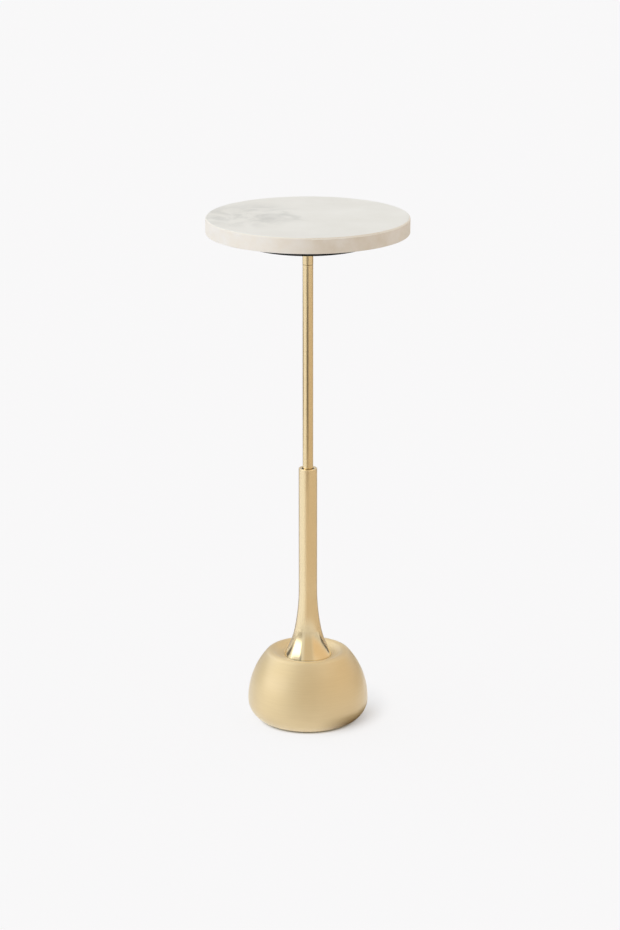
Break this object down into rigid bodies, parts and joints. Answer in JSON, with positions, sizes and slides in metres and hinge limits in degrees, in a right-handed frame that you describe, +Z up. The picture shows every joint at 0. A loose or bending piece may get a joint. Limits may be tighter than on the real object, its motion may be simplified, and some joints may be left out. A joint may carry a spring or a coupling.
{
  "type": "wine table",
  "caption": "Round marble-topped wine table on a slim brass stem that slides and turns in a trumpet-shaped column on a weighted brass dome.",
  "frame": {"origin": "on the floor at the middle of the base pad, with the stem fully raised", "axes": "+Z up along the stem, which is the axis of every turned piece"},
  "size_m": [0.23, 0.23, 0.6],
  "materials": {
    "marble": "honed white marble with soft grey clouds",
    "painted_board": "matt black paint on wood-fibre board",
    "satin_brass": "satin, finely brushed round the axis, clear lacquer",
    "polished_brass": "semi-polished, clear lacquer",
    "zinc_steel": "bright zinc plate",
    "black_acetal": "turned acetal",
    "cast_iron": "as cast",
    "black_rubber": "matt moulded rubber"
  },
  "bodies": {
    "base": {"dome_shell": "satin_brass", "trumpet_column": "polished_brass", "guide_bush": "black_acetal", "spigot_tube": "zinc_steel", "ballast": "cast_iron", "clamp_washer": "zinc_steel", "clamp_nut": "zinc_steel", "base_plate": "zinc_steel", "base_plate_screws": "zinc_steel", "stop_buffer": "black_rubber", "base_pad": "black_rubber"},
    "slider": {"friction_bush": "black_acetal"},
    "stem": {"post_tube": "polished_brass", "post_top_plug": "zinc_steel", "post_foot_plug": "zinc_steel", "foot_washer": "zinc_steel", "foot_screw": "zinc_steel", "collar_stud": "zinc_steel", "top_collar": "polished_brass", "stud_nut": "zinc_steel", "mount_flange": "zinc_steel", "flange_screws": "zinc_steel", "sub_top": "painted_board", "marble_top": "marble"}
  },
  "joints": [
    {"name": "post_slide", "type": "slide", "parent": "base", "child": "slider", "axis": [0, 0, 1], "range_m": [-0.2, 0]},
    {"name": "post_swivel", "type": "hinge", "parent": "slider", "child": "stem", "pos_m": [0, 0, 0.2403], "axis": [0, 0, 1], "continuous": true}
  ]
}
